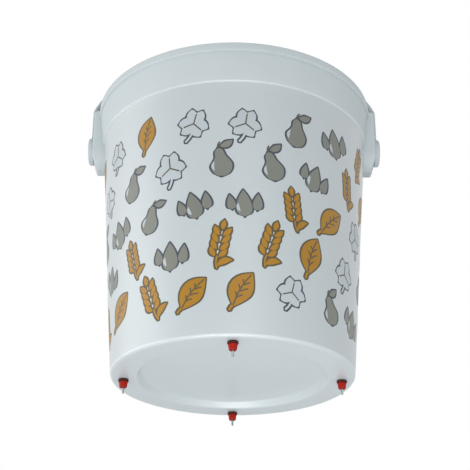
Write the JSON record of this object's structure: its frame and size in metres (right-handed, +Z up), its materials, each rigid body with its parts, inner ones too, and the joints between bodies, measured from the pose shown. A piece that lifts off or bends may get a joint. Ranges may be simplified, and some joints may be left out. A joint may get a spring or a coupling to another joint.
{
  "type": "hanging nipple drinker",
  "caption": "Hanging livestock drinker: a flared open bucket on a folding bail handle, with push-pin drinking nipples screwed through its base.",
  "frame": {"origin": "on the bucket's axis, level with the tips of the trigger pins", "axes": "+Z up the bucket's axis, X through the two ears and hubs, -Y the side pictured"},
  "size_m": [0.3514, 0.3288, 0.4567],
  "materials": {
    "bucket": "moulded polypropylene, satin",
    "handle": "moulded polypropylene, satin",
    "nipple": "red moulded plastic, satin",
    "seal": "dark sealing rubber",
    "steel": "turned stainless steel",
    "strainer": "white moulded plastic"
  },
  "bodies": {
    "handle": {"handle": "handle"},
    "bucket": {"bucket_shell": "bucket", "nipple_body_1": "nipple", "seal_washer_1": "seal", "lock_nut_1": "nipple", "valve_bush_1": "steel", "inlet_strainer_1": "strainer", "nipple_body_2": "nipple", "seal_washer_2": "seal", "lock_nut_2": "nipple", "valve_bush_2": "steel", "inlet_strainer_2": "strainer", "nipple_body_3": "nipple", "seal_washer_3": "seal", "lock_nut_3": "nipple", "valve_bush_3": "steel", "inlet_strainer_3": "strainer", "nipple_body_4": "nipple", "seal_washer_4": "seal", "lock_nut_4": "nipple", "valve_bush_4": "steel", "inlet_strainer_4": "strainer"},
    "valve_1": {"valve_ball_1": "steel"},
    "trigger_1": {"trigger_pin_1": "steel"},
    "valve_2": {"valve_ball_2": "steel"},
    "trigger_2": {"trigger_pin_2": "steel"},
    "valve_3": {"valve_ball_3": "steel"},
    "trigger_3": {"trigger_pin_3": "steel"},
    "valve_4": {"valve_ball_4": "steel"},
    "trigger_4": {"trigger_pin_4": "steel"}
  },
  "joints": [
    {"name": "bail_fold", "type": "hinge", "parent": "handle", "child": "bucket", "pos_m": [0, 0, 0.3055], "axis": [1, 0, 0], "range_deg": [-52, 52]},
    {"name": "valve_lift_1", "type": "slide", "parent": "bucket", "child": "valve_1", "axis": [0, 0, 1], "range_m": [0, 0.0008]},
    {"name": "trigger_tilt_1", "type": "hinge", "parent": "valve_1", "child": "trigger_1", "pos_m": [0, -0.1205, 0.01271], "axis": [1, 0, 0], "range_deg": [-6, 6]},
    {"name": "valve_lift_2", "type": "slide", "parent": "bucket", "child": "valve_2", "axis": [0, 0, 1], "range_m": [0, 0.0008]},
    {"name": "trigger_tilt_2", "type": "hinge", "parent": "valve_2", "child": "trigger_2", "pos_m": [0.1205, 0, 0.01271], "axis": [0, 1, 0], "range_deg": [-6, 6]},
    {"name": "valve_lift_3", "type": "slide", "parent": "bucket", "child": "valve_3", "axis": [0, 0, 1], "range_m": [0, 0.0008]},
    {"name": "trigger_tilt_3", "type": "hinge", "parent": "valve_3", "child": "trigger_3", "pos_m": [0, 0.1205, 0.01271], "axis": [-1, 0, 0], "range_deg": [-6, 6]},
    {"name": "valve_lift_4", "type": "slide", "parent": "bucket", "child": "valve_4", "axis": [0, 0, 1], "range_m": [0, 0.0008]},
    {"name": "trigger_tilt_4", "type": "hinge", "parent": "valve_4", "child": "trigger_4", "pos_m": [-0.1205, 0, 0.01271], "axis": [0, -1, 0], "range_deg": [-6, 6]}
  ]
}
